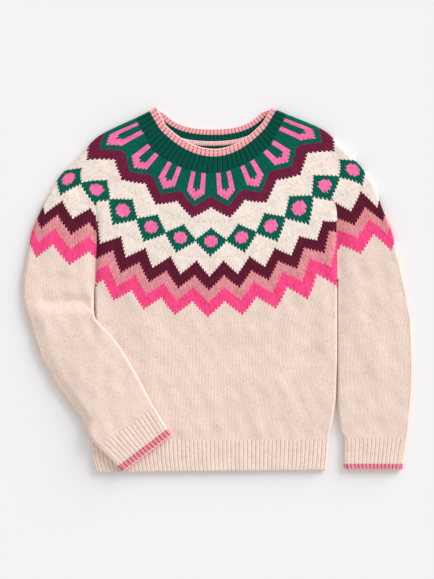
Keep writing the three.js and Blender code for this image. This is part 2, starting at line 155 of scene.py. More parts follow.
class Wire:
    # One socket of a material, so that shader maths reads as a sum
    def __init__(self, tree, socket=None):
        self.tree = tree
        self.socket = socket

    def node(self, kind, settings=None, inputs=None, output=0):
        made = self.tree.nodes.new(kind)
        for key, value in (settings or {}).items():
            if key == "stops":
                fillRamp(made.color_ramp, value)
            else:
                setattr(made, key, value)
        for key, value in (inputs or {}).items():
            if isinstance(value, Wire):
                self.tree.links.new(value.socket, made.inputs[key])
            else:
                made.inputs[key].default_value = value
        return Wire(self.tree, made.outputs[output])

    def maths(self, operation, *values):
        return self.node("ShaderNodeMath", {"operation": operation}, dict(enumerate(values)))

    def __add__(self, other):
        return self.maths("ADD", self, other)

    def __radd__(self, other):
        return self.maths("ADD", other, self)

    def __sub__(self, other):
        return self.maths("SUBTRACT", self, other)

    def __rsub__(self, other):
        return self.maths("SUBTRACT", other, self)

    def __mul__(self, other):
        return self.maths("MULTIPLY", self, other)

    def __rmul__(self, other):
        return self.maths("MULTIPLY", other, self)

    def __truediv__(self, other):
        return self.maths("DIVIDE", self, other)

    def __mod__(self, other):
        return self.maths("FLOORED_MODULO", self, other)

    def __pow__(self, other):
        return self.maths("POWER", self, other)

    def __abs__(self):
        return self.maths("ABSOLUTE", self)

    def __gt__(self, other):
        return self.maths("GREATER_THAN", self, other)

    def __lt__(self, other):
        return self.maths("LESS_THAN", self, other)


def fillRamp(ramp, stops):
    # stops is a list of places and colours, and each colour holds until the next place
    ramp.interpolation = "CONSTANT"
    while len(ramp.elements) < len(stops):
        ramp.elements.new(1.0)
    for element, (place, colour) in zip(ramp.elements, stops):
        element.position = place
        element.color = colour


def mixed(start, factor, under, over, way="MIX"):
    return start.node("ShaderNodeMix", {"data_type": "RGBA", "blend_type": way},
                      {0: factor, 6: under, 7: over}, output=2)


def woolMaterial(name):
    material = bpy.data.materials.new(name)
    material.use_nodes = True
    shader = material.node_tree.nodes["Principled BSDF"]
    shader.inputs["Roughness"].default_value = wool["roughness"]
    shader.inputs["Sheen Weight"].default_value = wool["sheenWeight"]
    shader.inputs["Sheen Roughness"].default_value = wool["sheenRoughness"]
    shader.inputs["Specular IOR Level"].default_value = wool["specular"]
    start = Wire(material.node_tree)
    page = start.node("ShaderNodeUVMap", {"uv_map": "stitches"})
    across = start.node("ShaderNodeSeparateXYZ", {}, {0: page}, output=0)
    down = start.node("ShaderNodeSeparateXYZ", {}, {0: page}, output=1)
    return material, shader, start, across, down


def finishWool(material, shader, start, colour, relief, bump):
    # the colour, and the relief of the stitches as a bump with its height in metres
    normal = start.node("ShaderNodeBump", {}, {"Strength": 1.0, "Distance": bump, "Height": relief})
    material.node_tree.links.new(colour.socket, shader.inputs["Base Color"])
    material.node_tree.links.new(normal.socket, shader.inputs["Normal"])
    return material


stitch = {
    "slant": 0.62,            # how far a leg runs down the page, in rows
    "legHump": 0.45,          # how much lower a leg is where its row ends
    "grooveShade": 0.18,      # painted shade: how much darker the deepest gap between stitches is painted
    "bump": 0.00045,          # height of a stitch in metres
    "plainUnevenness": 0.035, # how much lighter or darker single stitches are in oat
    "chartUnevenness": 0.16,  # and in the chart's colours
    "creamEvenness": 0.6,     # how far cream goes from the chart's unevenness to the oat's
    "fleckShare": 0.16,       # share of stitches that are flecks
    "oatFlecks": 0.22,        # how strongly a fleck colours an oat or dusty pink stitch
    "creamFlecks": 0.10,      # and a cream one
    "paleFrom": 0.6,          # brightness from which a colour counts as cream
    # tint of the painted shade in the gaps between stitches
    "paintedShadeTint": (0.35, 0.28, 0.26, 1.0),
}

chart = {
    "firstDecreases": 23.5,   # the rows where the yoke loses stitches, seen from below
    "secondDecreases": 39.5,
    "fewestStitches": 48,     # in a quarter round above the first decreases
    "takenIn": 24,            # stitches of a quarter round that each decrease takes in
    "repeat": 12,
    "decreaseEvery": 2,       # stitches from one gathered pair to the next
    "decreaseShade": 0.2,
    "diamondRow": 32,
    "diamondReach": 6.5,
    "heartSize": 2.6,         # half the width of a diamond's heart, in stitches
    "heartSlope": 0.5,        # stitches that it loses with each row
    "heartReach": 2.5,        # half its height, in rows
    "petalBase": 12,          # the row of a petal's tip
    "petalWidth": 3,
    "hollowBase": 9,          # the row where the hollow inside a petal ends
    "hollowWidth": 2,
    "darkFrom": 10.5,         # no burgundy above this row
    "darkReach": 15.5,        # rows from the petal's axis to the burgundy
    "creamReach": 21.5,       # and on to the cream
    "darkZigzag": 46.5,       # the row where each zigzag starts, at its trough
    "dustyZigzag": 52.5,
    "hotZigzag": 57.5,
    "plainFrom": 63.5,
}
rampRows = 128                # rows that a colour ramp's length stands for


def bandStops(first, *bands):
    # the colours of a zigzag, from the row where each begins at the zigzag's trough
    return [(0.0, yarns[first])] + [(row / rampRows, yarns[name]) for row, name in bands]


def stitchLeg(across, row):
    # the height of a stitch of two slanting legs: round across each leg, and lower where a row ends
    side = abs(across)
    slanted = row + (side - 0.5) * stitch["slant"]
    rowIndex = slanted.maths("FLOOR", slanted)
    along = slanted - rowIndex
    offCentre = side * 2 - 1
    rounded = along.maths("SQRT", 1 - offCentre * offCentre)
    hump = along.maths("SINE", along * math.pi)
    return rowIndex, rounded * (hump * stitch["legHump"] + (1 - stitch["legHump"])), side


def fleckedWool(start, colour, index, rowIndex, across, amount, unevenness):
    # single stitches a little lighter, darker, tan, pink or grey, as in heathered wool
    legIndex = index * 2 + (across > 0.0)
    cell = start.node("ShaderNodeCombineXYZ", {}, {0: legIndex, 1: rowIndex, 2: 3.0})
    chance = start.node("ShaderNodeTexWhiteNoise", {"noise_dimensions": "3D"}, {0: cell}, output=0)
    tint = start.node("ShaderNodeTexWhiteNoise", {"noise_dimensions": "3D"}, {0: cell}, output=1)
    shade = start.node("ShaderNodeSeparateColor", {}, {0: tint}, output=1)
    pick = start.node("ShaderNodeSeparateColor", {}, {0: tint}, output=2)
    stops = [(0.0, yarns["fleckTan"]), (0.5, yarns["fleckPink"]), (0.75, yarns["fleckGrey"])]
    flecks = pick.node("ShaderNodeValToRGB", {"stops": stops}, {0: pick})
    flecked = mixed(start, (chance < stitch["fleckShare"]) * amount, colour, flecks)
    light = 1 - unevenness + shade * unevenness * 2
    level = start.node("ShaderNodeCombineColor", {}, {0: light, 1: light, 2: light})
    return mixed(start, 1.0, flecked, level, "MULTIPLY")


def shaded(start, colour, share):
    # painted shade: the colour darkened towards a warm tint, as where the wool lies deep between stitches
    deep = mixed(start, 1.0, colour, stitch["paintedShadeTint"], "MULTIPLY")
    return mixed(start, share, colour, deep)


def knitMaterial():
    # Stocking stitch with the yoke's chart. across counts quarter rounds and down counts rows.
    material, shader, start, across, down = woolMaterial("knit")
    below = down > chart["firstDecreases"]
    lower = down > chart["secondDecreases"]
    count = (below + lower) * chart["takenIn"] + chart["fewestStitches"]
    place = across * count + 0.5
    index = place.maths("FLOOR", place)
    within = (place - index) * 2 - 1
    rowIndex, leg, side = stitchLeg(within, down)
    fromPetal = abs(index % chart["repeat"] - chart["repeat"] / 2)
    fromTrough = chart["repeat"] / 2 - fromPetal

    # zigzags below the second decreases
    zigzag = (rowIndex + fromTrough) / rampRows
    lowerBands = zigzag.node(
        "ShaderNodeValToRGB",
        {"stops": bandStops("cream", (chart["darkZigzag"], "burgundy"), (chart["dustyZigzag"], "dustyPink"),
                            (chart["hotZigzag"], "hotPink"), (chart["plainFrom"], "oat"))},
        {0: zigzag})

    # diamonds between the two rounds of decreases
    fromDiamond = abs(rowIndex - chart["diamondRow"])
    spread = fromDiamond + fromTrough
    diamond = mixed(start, spread < chart["diamondReach"], yarns["cream"], yarns["green"])
    heartWidth = fromDiamond * chart["heartSlope"] + fromTrough < chart["heartSize"]
    heart = heartWidth * (fromDiamond < chart["heartReach"])
    middleBand = mixed(start, heart, diamond, yarns["pink"])

    # petals above the first decreases
    reach = rowIndex + fromPetal
    petalShade = (reach > chart["darkReach"]) * (rowIndex > chart["darkFrom"])
    petalGround = mixed(start, petalShade, yarns["green"], yarns["plum"])
    petalEdge = mixed(start, reach > chart["creamReach"], petalGround, yarns["cream"])
    widest = reach.maths("MINIMUM", chart["petalBase"] - rowIndex, chart["petalWidth"])
    hollow = reach.maths("MINIMUM", chart["hollowBase"] - rowIndex, chart["hollowWidth"])
    petal = (fromPetal < widest + 0.5) * (fromPetal > hollow - 0.5) * (rowIndex > -0.5)
    upperBand = mixed(start, petal, petalEdge, yarns["pink"])

    bands = mixed(start, lower, mixed(start, below, upperBand, middleBand), lowerBands)

    def inRowAbove(border):
        return abs(rowIndex - (border - 0.5)) < 0.5

    decreases = inRowAbove(chart["firstDecreases"]) + inRowAbove(chart["secondDecreases"])
    gathers = decreases * (index % chart["decreaseEvery"] < 0.5)
    charted = mixed(start, gathers * chart["decreaseShade"], bands, yarns["decreaseTan"])
    zigzagRow = zigzag * rampRows
    dusty = lower * (zigzagRow > chart["dustyZigzag"]) * (zigzagRow < chart["hotZigzag"])
    plain = lower * (zigzagRow > chart["plainFrom"])
    pale = 1 - lower + lower * (zigzagRow < chart["darkZigzag"])
    paleYoke = pale * (charted > stitch["paleFrom"])   # a maths node takes a colour by its brightness
    flecks = (dusty + plain) * stitch["oatFlecks"] + paleYoke * stitch["creamFlecks"]
    softness = plain + paleYoke * stitch["creamEvenness"]
    calmer = stitch["chartUnevenness"] - stitch["plainUnevenness"]
    unevenness = stitch["chartUnevenness"] - softness * calmer
    flecked = fleckedWool(start, charted, index, rowIndex, within, flecks, unevenness)
    # painted shade in the gaps between stitches
    gapShaded = shaded(start, flecked, (1 - leg) * stitch["grooveShade"])
    return finishWool(material, shader, start, gapShaded, leg, stitch["bump"])


# furrow is the power of the way across a rib at which its colour turns to the groove's painted shade;
# grooveShade is the painted shade between stitches
ribbing = {"furrow": 4.0, "grooveShade": 0.12, "bump": 0.0004, "unevenness": 0.05}


def ribGround(name):
    # across counts ribs, with a groove at each whole number, and down counts rows
    material, shader, start, across, down = woolMaterial(name)
    index = across.maths("FLOOR", across)
    within = (across - index) * 2 - 1
    rowIndex, leg, side = stitchLeg(within, down)
    return material, shader, start, down, index, within, rowIndex, leg, side


def finishRib(ground, colour, flecks):
    material, shader, start, down, index, within, rowIndex, leg, side = ground
    flecked = fleckedWool(start, colour, index, rowIndex, within, flecks, ribbing["unevenness"])
    # painted shade in the gaps between stitches
    gapShaded = shaded(start, flecked, (1 - leg) * ribbing["grooveShade"])
    return finishWool(material, shader, start, gapShaded, leg, ribbing["bump"])


def ribMaterial(name, ridge, groove, flecks=0.0):
    # one-and-one rib with painted shade: its colour darkens towards a groove
    ground = ribGround(name)
    start, side = ground[2], ground[-1]
    # painted shade towards each groove
    colour = mixed(start, side ** ribbing["furrow"], yarns[ridge], yarns[groove])
    return finishRib(ground, colour, flecks)


tipping = {
    "furrow": 2.2,
    "lipRows": 0.7,
    "neckBreak": (2.0, 2.5),      # rows from the edge between which the grooves are broken
    "noBreak": (90.0, 91.0),      # past the end of a tip
}


def tipMaterial(name, ridge, groove, lip, edgeRow, breakRows):
    # a ribbed tip with a pale lip along its edge, and grooves that a row of the ridge's colour may break
    ground = ribGround(name)
    start, down, side = ground[2], ground[3], ground[-1]
    fromEdge = abs(down - edgeRow)
    broken = (fromEdge > breakRows[0]) * (fromEdge < breakRows[1])
    furrow = side ** tipping["furrow"] * (1 - broken)
    colour = mixed(start, furrow, yarns[ridge], yarns[groove])
    edged = mixed(start, fromEdge < tipping["lipRows"], colour, yarns[lip])
    return finishRib(ground, edged, 0.0)


cuffEndRow = 14.1    # rows of a cuff down to its edge
knit = knitMaterial()
oatRib = ribMaterial("oat_rib", "oat", "oatGrooveShade", flecks=stitch["oatFlecks"])
greenRib = ribMaterial("green_rib", "bandGreen", "greenGrooveShade")
neckTip = tipMaterial("neck_tip", "tipPink", "tipRose", "tipLip", 0.0, tipping["neckBreak"])
cuffTip = tipMaterial("cuff_tip", "cuffPink", "cuffRose", "cuffLip", cuffEndRow, tipping["noBreak"])
shellEdge = ribMaterial("shell_edge", "shellPink", "shellGrooveShade")

print("page tables")


def namedTable(columns, rows):
    values = np.array(rows, float)
    return {name: values[:, i] for i, name in enumerate(columns.split())}


def curveAt(knots, values, at):
    # a cubic through the table's rows whose slope at a row comes from the rows on both sides
    slopes = np.gradient(values, knots)
    held = np.clip(at, knots[0], knots[-1])
    row = np.clip(np.searchsorted(knots, held, side="right") - 1, 0, len(knots) - 2)
    span = knots[row + 1] - knots[row]
    share = (held - knots[row]) / span
    square, cube = share ** 2, share ** 3
    return (values[row] * (2 * cube - 3 * square + 1) + slopes[row] * span * (cube - 2 * square + share)
            + values[row + 1] * (3 * square - 2 * cube) + slopes[row + 1] * span * (cube - square))


def tableAt(table, name, at):
    return curveAt(np.arange(len(table[name]), dtype=float), table[name], at)


def mix(start, end, share):
    return start + (end - start) * share


def smooth(value):
    held = np.clip(value, 0.0, 1.0)
    return held * held * (3 - 2 * held)


cloth = {
    "wall": 2.6,
    "layerGap": 1.8,
    "bandWall": 2.8,
    "leastGap": 0.4,
    "thinnest": 0.9,           # what a deep trough leaves of a sleeve's upper layer
    "thinSoftness": 0.4,
    "rowHeight": 2.87,
    "quarterRound": 297.6,     # width of a quarter of the full round of stitches
    "edgeDraw": 0.85,          # how far a wall's two sides are drawn together at an open edge
    "sharpEdge": 55.0,         # degrees between faces past which an edge is shaded sharp
}
flatTop = 2 * cloth["wall"] + cloth["layerGap"]
flatRadius = flatTop / 2

# Courses from the neck edge to the underarm, as in the frame: the neck edge, the tip's base, the yoke's top,
# petals, first decreases, diamonds, second decreases, dark zigzag, pale zigzag and the underarm
courses = namedTable(
    "midX midY leftCreaseX leftCreaseY leftFoldX leftFoldY "
    "rightCreaseX rightCreaseY rightFoldX rightFoldY row", [
        (-4.4, 168.2, -62.0, 196.4, -73.5, 219.1, 53.8, 200.0, 64.9, 218.3, -11.0),
        (-5.0, 158.9, -69.2, 191.6, -81.8, 213.4, 57.4, 193.4, 70.6, 215.0, -7.0),
        (-8.0, 140.3, -79.5, 169.4, -96.8, 205.9, 63.5, 173.6, 82.3, 210.0, 0.0),
        (-8.0, 106.4, -102.3, 149.6, -142.4, 183.6, 86.3, 156.8, 126.4, 191.0, 12.5),
        (-8.0, 83.6, -119.1, 131.0, -164.8, 159.4, 103.1, 141.2, 148.0, 170.6, 22.0),
        (-8.0, 58.8, -141.2, 113.6, -188.6, 135.8, 125.2, 124.4, 172.0, 146.6, 32.0),
        (-8.0, 36.8, -145.4, 90.2, -203.1, 111.2, 141.4, 99.8, 187.6, 123.8, 40.0),
        (-8.0, 15.8, -144.8, 60.2, -213.2, 91.2, 142.4, 71.0, 197.2, 97.4, 47.0),
        (-8.0, -9.4, -146.2, 32.6, -222.5, 68.6, 143.2, 39.8, 207.7, 72.2, 56.0),
        (-8.0, -40.6, -146.7, 6.2, -229.4, 33.8, 143.7, 12.2, 217.4, 35.6, 67.0),
    ])
tipBase, yokeTop, underarm = 1, 2, 9

bodySides = namedTable("y left right", [
    (14, -146.6, 143.3), (-37, -146.8, 143.3), (-85, -147.2, 143.3), (-133, -148.4, 141.8),
    (-157, -150.2, 138.4), (-181, -152.0, 133.1), (-205, -149.6, 131.6), (-219, -145.5, 129.9),
])
hemCorners = {"left": -152.0, "right": 133.1}
hemTop = {"left": -181.8, "right": -179.8}
hemEnd = {"left": -219.0, "right": -216.6}

bentSleeve = namedTable("outerX outerY innerX innerY", [
    (-229.4, 33.8, -147.1, 6.2), (-233.6, 13.4, -147.7, -3.4), (-233.8, -3.4, -148.0, -11.8),
    (-232.1, -19.0, -148.2, -17.8), (-228.8, -32.2, -148.2, -24.6), (-223.0, -51.6, -146.0, -34.6),
    (-216.3, -73.2, -137.6, -44.2), (-206.3, -94.8, -130.4, -52.0), (-198.8, -109.0, -125.0, -57.7),
    (-185.8, -128.5, -111.2, -77.2), (-165.7, -157.0, -93.8, -106.9), (-152.2, -178.8, -82.4, -129.4),
    (-143.6, -188.5, -75.8, -140.8), (-119.6, -211.6, -60.1, -166.6), (-113.7, -219.0, -53.3, -173.8),
])
straightSleeve = namedTable("outerX outerY innerX innerY", [
    (217.4, 35.6, 144.1, 12.2), (227.2, -9.4, 143.9, -13.0), (231.9, -37.0, 143.8, -37.0),
    (233.5, -73.0, 143.8, -73.0), (233.8, -109.0, 143.9, -109.0), (231.7, -139.0, 143.8, -141.4),
    (229.0, -166.6, 146.8, -169.0), (227.1, -178.8, 150.9, -178.6), (222.2, -209.0, 151.1, -209.0),
    (221.3, -216.5, 153.4, -216.1),
])

# Where the rows of the chart lie on the front. crease is the underarm crease, where the body and the
# sleeve show different heights and wales of the same row, fold is the outer edge, and bow is how far
# a row of the sleeve rises between the two.
centreRows = namedTable("row x y", [
    (0, -8.0, 140.3), (12.5, -8.0, 106.4), (22, -8.0, 83.6), (32, -8.0, 58.8), (40, -9.0, 36.8),
    (47, -9.8, 15.8), (56, -10.9, -9.4), (64, -11.9, -32.9), (67, -11.9, -40.6), (117, -10.0, -182.2),
])
sideColumns = "row creaseX bodyY bodyWale sleeveY sleeveWale foldX foldY foldWale bow"
sideRows = {
    "left": namedTable(sideColumns, [
        (0, -79.5, 169.4, 0.65, 169.4, 0.65, -96.8, 205.9, 1.02, 0),
        (12.5, -102.3, 149.6, 0.65, 149.6, 0.65, -142.4, 183.6, 1.0, 0),
        (22, -119.1, 134.6, 0.65, 134.6, 0.65, -164.8, 159.4, 0.95, 0),
        (32, -141.2, 119.4, 0.65, 119.4, 0.65, -188.6, 138.2, 0.91, 0),
        (40, -145.1, 86.6, 0.58, 97.0, 0.66, -203.1, 111.2, 0.91, 2.4),
        (47, -145.4, 57.8, 0.52, 76.5, 0.66, -213.2, 91.2, 0.91, 2.4),
        (56, -146.2, 21.8, 0.48, 49.0, 0.665, -222.5, 65.4, 0.92, 0),
        (64, -146.7, -4.6, 0.455, 25.8, 0.669, -227.3, 41.2, 0.922, -2.4),
        (67, -146.7, -13.6, 0.45, 16.6, 0.669, -229.4, 33.2, 0.922, -2.4),
        (117, -152.0, -181.8, 0.47, -130.0, 0.65, -232.0, -120.0, 0.91, -2.4),
    ]),
    "right": namedTable(sideColumns, [
        (0, 63.5, 173.6, 0.65, 173.6, 0.65, 82.3, 210.0, 1.02, 0),
        (12.5, 86.3, 156.8, 0.65, 156.8, 0.65, 126.4, 191.0, 1.0, 0),
        (22, 103.1, 141.2, 0.65, 141.2, 0.65, 148.0, 170.6, 0.95, 0),
        (32, 125.2, 124.4, 0.65, 124.4, 0.66, 172.0, 150.5, 0.91, 0.2),
        (40, 141.4, 97.4, 0.64, 107.0, 0.69, 187.6, 123.8, 0.91, 3.0),
        (47, 142.4, 76.4, 0.60, 84.8, 0.687, 197.2, 97.4, 0.91, 5.6),
        (56, 143.2, 41.0, 0.54, 56.6, 0.675, 207.7, 72.2, 0.91, 6.0),
        (64, 143.6, 2.6, 0.497, 30.8, 0.666, 214.9, 45.4, 0.91, 6.0),
        (67, 143.7, -9.4, 0.49, 21.8, 0.66, 217.4, 35.6, 0.91, 6.0),
        (117, 133.1, -179.8, 0.49, -130.0, 0.66, 233.0, -120.0, 0.91, 6.0),
    ]),
}
fineRows = np.linspace(-4.0, 117.0, 1211)


def fineTable(table):
    return {name: curveAt(table["row"], values, fineRows) for name, values in table.items()}


fineCentre = fineTable(centreRows)
fineSides = {side: fineTable(table) for side, table in sideRows.items()}


def lookUp(table, name, row):
    return np.interp(row, fineRows, table[name])


halvings = 18


def findRow(isAbove, shape):
    # halves the range of rows until each point's row is found
    low = np.full(shape, fineRows[0])
    high = np.full(shape, fineRows[-1])
    for _ in range(halvings):
        middle = (low + high) / 2
        lower = isAbove(middle)
        low = np.where(lower, middle, low)
        high = np.where(lower, high, middle)
    return (low + high) / 2


# How wales spread from the centre to the crease and from the crease to the fold: an even share and a late one
bodyRun = {"even": 0.92, "late": 0.08}
sleeveRun = {"even": 0.85, "late": 0.15, "power": 5}


def bodyStitches(x, y, side):
    # A row runs as a parabola from the centre to the crease, and the wales lie a little closer at the centre.
    table = fineSides[side]

    def shareOut(row):
        centre = lookUp(fineCentre, "x", row)
        return np.abs(x - centre) / np.abs(lookUp(table, "creaseX", row) - centre)

    def isAbove(row):
        height = lookUp(fineCentre, "y", row)
        return height - (height - lookUp(table, "bodyY", row)) * shareOut(row) ** 2 > y

    row = findRow(isAbove, x.shape)
    share = shareOut(row)
    wale = lookUp(table, "bodyWale", row) * share * (bodyRun["even"] + bodyRun["late"] * share)
    sign = -1.0 if side == "left" else 1.0
    beyond = np.sign(x - lookUp(fineCentre, "x", row))
    return np.where(share < 0.5, beyond, sign) * wale, row


def sleeveStitches(x, y, side):
    # A row runs from the crease to the fold with a slight bow, and the wales lie closer next to the fold.
    table = fineSides[side]
    sign = -1.0 if side == "left" else 1.0

    def place(row):
        creaseX, creaseY = lookUp(table, "creaseX", row), lookUp(table, "sleeveY", row)
        runX, runY = lookUp(table, "foldX", row) - creaseX, lookUp(table, "foldY", row) - creaseY
        length = np.hypot(runX, runY)
        share = ((x - creaseX) * runX + (y - creaseY) * runY) / length ** 2
        below = -sign * (runX * (y - creaseY) - runY * (x - creaseX)) / length
        held = np.clip(share, 0.0, 1.0)
        return share, below + lookUp(table, "bow", row) * 4 * held * (1 - held)

    row = findRow(lambda value: place(value)[1] > 0, x.shape)
    share = place(row)[0]
    late = np.clip(share, 0.0, 1.0) ** sleeveRun["power"]
    spread = share * sleeveRun["even"] + late * sleeveRun["late"]
    return sign * mix(lookUp(table, "sleeveWale", row), lookUp(table, "foldWale", row), spread), row


print("folds and creases")

# Soft folds of the upper layer: where each starts and ends, its half width and its height
folds = namedTable("fromX fromY toX toY spread rise", [
    (-206, -21, -150, -15, 8, -0.2),
    (-216, 24, -166, 2, 9, -0.8),
    (-196, -62, -134, -134, 12, 1.1),
    (158, 8, 212, 20, 8, -1.2),
    (172, -40, 208, -128, 14, 1.4),
    (-86, -12, -80, -112, 14, 1.6),
    (-52, -98, 84, -52, 13, -1.4),
    (2, -142, 122, -84, 15, 1.6),
    (104, 0, 110, -150, 12, -1.2),
    (-128, 20, -120, -90, 13, -1.5),
    (-170, 128, -104, 60, 14, 0.7),
    (152, 128, 96, 58, 13, 0.6),
])

# The forearm's cloth lies over the upper arm's along a line at the elbow, as a step that fades outwards
elbow = namedTable("x y size", [
    (-222, -21.5, 0.0), (-205, -19.5, 0.35), (-185, -17.5, 0.75), (-165, -16.2, 1.0), (-157.3, -20.5, 1.0),
    (-152, -27, 1.0), (-147, -33, 0.6), (-140, -41, 0.0),
])
elbowStep = {"dip": 3.1, "dipWidth": 10.0, "droop": 2.4, "droopWidth": 30.0, "edge": 1.2}


def elbowRise(x, y):
    # a deep trough above the line and a shallow wide one below it, each a bell, with a steep step between
    above = y - np.interp(x, elbow["x"], elbow["y"])
    size = np.interp(x, elbow["x"], elbow["size"])
    dip = elbowStep["dip"] * np.exp(-((above / elbowStep["dipWidth"]) ** 2))
    droop = elbowStep["droop"] * np.exp(-((above / elbowStep["droopWidth"]) ** 2))
    return -size * mix(droop, dip, smooth(above / (2 * elbowStep["edge"]) + 0.5))


handling = {"seed": 11, "waves": 14, "shortest": 16.0, "longest": 60.0, "wander": 1.2, "height": 0.10}


def foldRise(x, y):
    # each fold is a bell across and a squared sine along its length
    total = np.zeros_like(x)
    for i in range(len(folds["rise"])):
        fold = {name: values[i] for name, values in folds.items()}
        alongX, alongY = fold["toX"] - fold["fromX"], fold["toY"] - fold["fromY"]
        length = math.hypot(alongX, alongY)
        along = ((x - fold["fromX"]) * alongX + (y - fold["fromY"]) * alongY) / length ** 2
        across = ((x - fold["fromX"]) * alongY - (y - fold["fromY"]) * alongX) / length
        fade = np.where((along > 0) & (along < 1), np.sin(np.pi * along) ** 2, 0.0)
        total += fold["rise"] * fade * np.exp(-((across / fold["spread"]) ** 2))
    return total


def handledRise(x, y):
    # the slight unevenness of cloth smoothed by hand: a sum of low waves in all directions
    chance = np.random.default_rng(handling["seed"])
    total = np.zeros_like(x)
    for _ in range(handling["waves"]):
        turn = chance.uniform(0, np.pi)
        length = chance.uniform(handling["shortest"], handling["longest"])
        bend = chance.uniform(0, 2 * np.pi)
        along = x * math.cos(turn) + y * math.sin(turn)
        sideways = y * math.cos(turn) - x * math.sin(turn)
        total += np.sin(2 * np.pi * along / length + bend + handling["wander"] * np.sin(sideways / length))
    return total * handling["height"]


valley = {"depth": 3.0, "bodyWidth": 3.0, "sleeveWidth": 9.0, "startY": 112.0, "fullY": 60.0}


def valleyDip(fromCrease, onSleeve, y):
    # the underarm crease: steep on the body's side and gentle on the sleeve's
    depth = valley["depth"] * smooth((valley["startY"] - y) / (valley["startY"] - valley["fullY"]))
    width = np.where(onSleeve, valley["sleeveWidth"], valley["bodyWidth"])
    return depth * np.exp(-((fromCrease / width) ** 2))


lift = {
    "height": 7.9,
    "runOut": 14.0,        # where the lower layer climbs, outside the body's edge
    "runIn": 2.0,          # and inside it
    "topRunOut": 46.0,     # and the upper one
    "topRunIn": 8.0,
    "puff": 0.5,           # share of the height at which the upper layer stands off the floor
    "puffWidth": 20.0,     # how far from the sleeve's outer edge it reaches that
    "startY": -10.5,
    "fullY": -31.0,
}


def bodySide(name, y):
    # the table's heights fall, so they are turned round for the interpolation
    return np.interp(y, bodySides["y"][::-1], bodySides[name][::-1])


def sleeveLift(x, y, upper):
    # The lower layer climbs close to the body's edge. The upper layer stands off the floor from its outer
    # edge on and spans the rest in a longer slope. upper is 1 on the upper layer and 0 on the lower one.
    inside = x - bodySide("left", y)
    lowerRun = smooth((inside + lift["runOut"]) / (lift["runOut"] + lift["runIn"]))
    longRun = smooth((inside + lift["topRunOut"]) / (lift["topRunOut"] + lift["topRunIn"]))
    outerX = np.interp(y, bentSleeve["outerY"][::-1], bentSleeve["outerX"][::-1])
    upperRun = mix(lift["puff"], 1.0, longRun) * smooth((x - outerX) / lift["puffWidth"])
    downSleeve = smooth((lift["startY"] - y) / (lift["startY"] - lift["fullY"]))
    return lift["height"] * mix(lowerRun, np.maximum(lowerRun, upperRun), upper) * downSleeve


print("shell tools")


def strip(outer, inner, normal, across, down):
    return {"outer": outer, "inner": inner, "normal": normal, "across": across, "down": down}


def pointsAt(plan, height):
    return np.concatenate([plan, np.broadcast_to(height, plan.shape[:2])[..., None]], axis=2)


def facing(plan, z):
    return np.broadcast_to(np.array([0.0, 0.0, z]), (*plan.shape[:2], 3)).copy()


def upperStrip(plan, top, wall, across, down):
    # the layer that faces up: its inner side stays a little above the lower layer
    inner = np.maximum(top - wall, wall + cloth["leastGap"])
    return strip(pointsAt(plan, top), pointsAt(plan, inner), facing(plan, 1.0), across, down)


def lowerStrip(plan, wall, across, down):
    return strip(pointsAt(plan, 0.0), pointsAt(plan, wall), facing(plan, -1.0), across, down)


def rollStrip(centre, out, top, wall, angles, across, down):
    # A half round that joins the two layers. It is as high as the upper layer where it leaves it.
    gapRadius = cloth["layerGap"] / 2
    radius = gapRadius + wall
    turn = np.radians(np.asarray(angles, float))[None, :]
    upward = np.where(turn > 0, (top[:, None] - radius) / radius, 1.0)

    def ring(reach):
        plan = centre[:, None, :] + out[:, None, :] * (reach * np.cos(turn))[..., None]
        return pointsAt(plan, radius + reach * np.sin(turn) * upward)

    normal = np.concatenate([out[:, None, :] * np.cos(turn)[..., None],
                             np.broadcast_to(np.sin(turn), (len(centre), turn.shape[1]))[..., None]], axis=2)
    return strip(ring(radius), ring(gapRadius), normal, across, down)


def joined(strips):
    return {key: np.concatenate([part[key] for part in strips], axis=1) for key in strips[0]}


